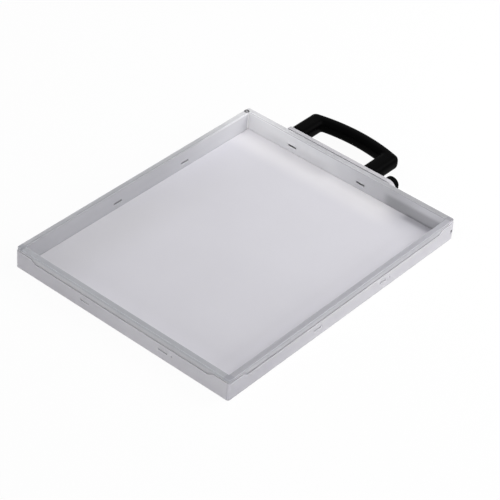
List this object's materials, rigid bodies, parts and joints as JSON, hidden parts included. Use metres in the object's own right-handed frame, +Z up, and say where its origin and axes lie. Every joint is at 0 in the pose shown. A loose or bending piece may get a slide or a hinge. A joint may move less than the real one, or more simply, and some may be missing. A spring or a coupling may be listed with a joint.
{
  "type": "negative carrier",
  "caption": "Shallow frosted tray with a hollow clipped rim, a diffusing pane as its floor, a black carrying handle and a turning knob that drives a latch bolt out of one side.",
  "frame": {"origin": "centre of the case's bottom face, without the handle", "axes": "+Y towards the handle, +X the way the latch bolt comes out, +Z up out of the film pocket"},
  "size_m": [0.298, 0.434, 0.026],
  "materials": {
    "frosted_base": "frosted, translucent",
    "frosted_frame": "frosted, translucent",
    "frosted_pane": "frosted, translucent",
    "frosted_plate": "frosted, translucent",
    "black_plastic": "satin moulded",
    "black_metal": "blackened",
    "white_plastic": "smooth",
    "steel": "turned",
    "brass": "turned"
  },
  "bodies": {
    "case": {"base_shell": "frosted_base", "rim_frame": "frosted_frame", "diffuser_pane": "frosted_pane", "corner_eyelet": "black_metal", "handle_plate": "frosted_plate", "plate_screws": "steel", "handle_grip": "black_plastic", "handle_inserts": "brass", "handle_screws": "steel", "bolt_guide": "black_plastic"},
    "knob": {"latch_knob": "black_plastic", "knob_washer": "white_plastic", "knob_stud": "steel", "latch_pinion": "white_plastic"},
    "bolt": {"latch_rack": "white_plastic", "latch_bar": "black_plastic", "latch_rod": "black_metal"}
  },
  "joints": [
    {"name": "bolt_slide", "type": "slide", "parent": "case", "child": "bolt", "axis": [1, 0, 0], "range_m": [0, 0.00785]},
    {"name": "knob_turn", "type": "hinge", "parent": "case", "child": "knob", "pos_m": [0.0515, 0.19, 0.01475], "axis": [0, -1, 0], "range_deg": [0, 90]}
  ],
  "couplings": [
    {"joint": "knob_turn", "follows": "bolt_slide", "rad_per_m": 200}
  ]
}
